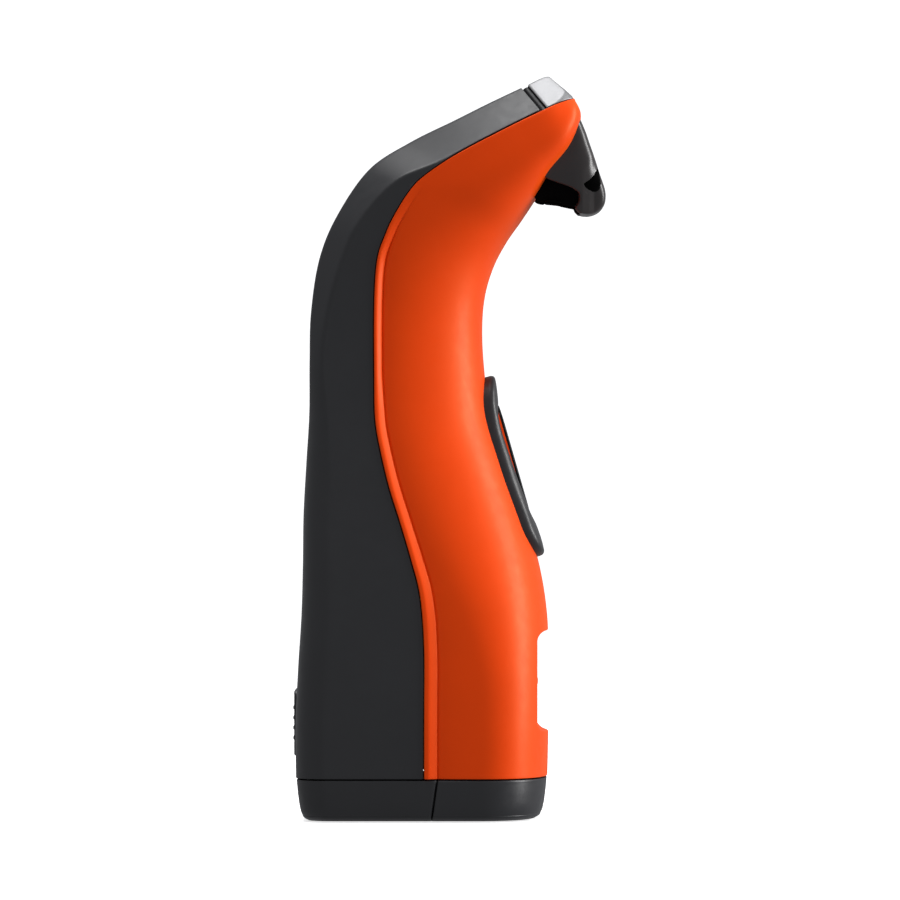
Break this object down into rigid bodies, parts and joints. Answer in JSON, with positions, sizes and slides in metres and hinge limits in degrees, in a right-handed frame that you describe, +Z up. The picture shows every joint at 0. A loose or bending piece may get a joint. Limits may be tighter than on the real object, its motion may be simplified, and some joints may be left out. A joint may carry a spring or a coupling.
{
  "type": "handheld scanner",
  "caption": "Cordless handheld 3-D scanner: curved upright grip with an overhanging scan head, hooded window, front trigger and pull-out battery foot.",
  "frame": {"origin": "centre of the foot's underside, on the surface the scanner stands on", "axes": "+Z up, +X to the aiming side where the trigger and scan hood are, +Y across the width"},
  "size_m": [0.0933, 0.057, 0.2213],
  "materials": {
    "orange_shell": "satin moulded orange",
    "charcoal_shell": "fine-textured charcoal",
    "satin_metal": "bead-blasted satin",
    "black_gloss": "polished black",
    "hood_plastic": "satin dark grey",
    "grip_rubber": "soft-touch grey",
    "foot_rubber": "matt black",
    "glass": "coated clear",
    "circuit_board": "green solder mask",
    "inner_plastic": "plain black moulding",
    "cell_wrap": "blue shrink wrap",
    "steel": "zinc plated",
    "gold_contact": "gold plated",
    "copper_flex": "amber film"
  },
  "bodies": {
    "housing": {"front_shell": "orange_shell", "rear_shell": "charcoal_shell", "nose_cap": "satin_metal", "indicator_lens": "black_gloss", "scan_hood": "hood_plastic", "window_gasket": "foot_rubber", "scan_window": "glass", "trigger_bezel": "grip_rubber", "trigger_spring": "steel", "trigger_switch": "inner_plastic", "trigger_board": "circuit_board", "latch_bracket": "inner_plastic", "latch_spring": "steel", "chassis": "inner_plastic", "main_board": "circuit_board", "battery_connector": "inner_plastic", "engine_frame": "inner_plastic", "projector": "inner_plastic", "projector_lens": "glass", "camera_left": "inner_plastic", "camera_left_lens": "glass", "camera_right": "inner_plastic", "camera_right_lens": "glass", "optics_board": "circuit_board", "indicator_board": "circuit_board", "ribbon_cable": "copper_flex", "beeper": "inner_plastic", "vibration_motor": "steel", "radio_antenna": "copper_flex", "dock_contact_block": "black_gloss", "dock_pin_1": "gold_contact", "dock_pin_2": "gold_contact", "dock_pin_3": "gold_contact", "dock_pin_4": "gold_contact", "shell_screw_1": "steel", "shell_screw_2": "steel", "shell_screw_3": "steel", "shell_screw_4": "steel"},
    "trigger": {"trigger_button": "orange_shell", "trigger_face": "black_gloss"},
    "latch": {"latch_button": "charcoal_shell"},
    "battery": {"base_rear": "charcoal_shell", "base_front": "charcoal_shell", "foot_pad": "foot_rubber", "battery_tray": "inner_plastic", "battery_cell_left": "cell_wrap", "battery_cell_right": "cell_wrap", "base_screw_1": "steel", "base_screw_2": "steel", "base_screw_3": "steel", "base_screw_4": "steel"}
  },
  "joints": [
    {"name": "trigger_press", "type": "slide", "parent": "housing", "child": "trigger", "axis": [-0.9613, 0, -0.2756], "range_m": [0, 0.0018], "stiffness_N_per_m": 600, "springref_m": -0.0015, "deforming": ["trigger_spring"]},
    {"name": "latch_press", "type": "slide", "parent": "housing", "child": "latch", "axis": [1, 0, 0], "range_m": [0, 0.0015], "stiffness_N_per_m": 800, "springref_m": -0.0015, "deforming": ["latch_spring"]},
    {"name": "battery_slide", "type": "slide", "parent": "housing", "child": "battery", "axis": [0, 0, -1], "range_m": [0, 0.075]}
  ]
}
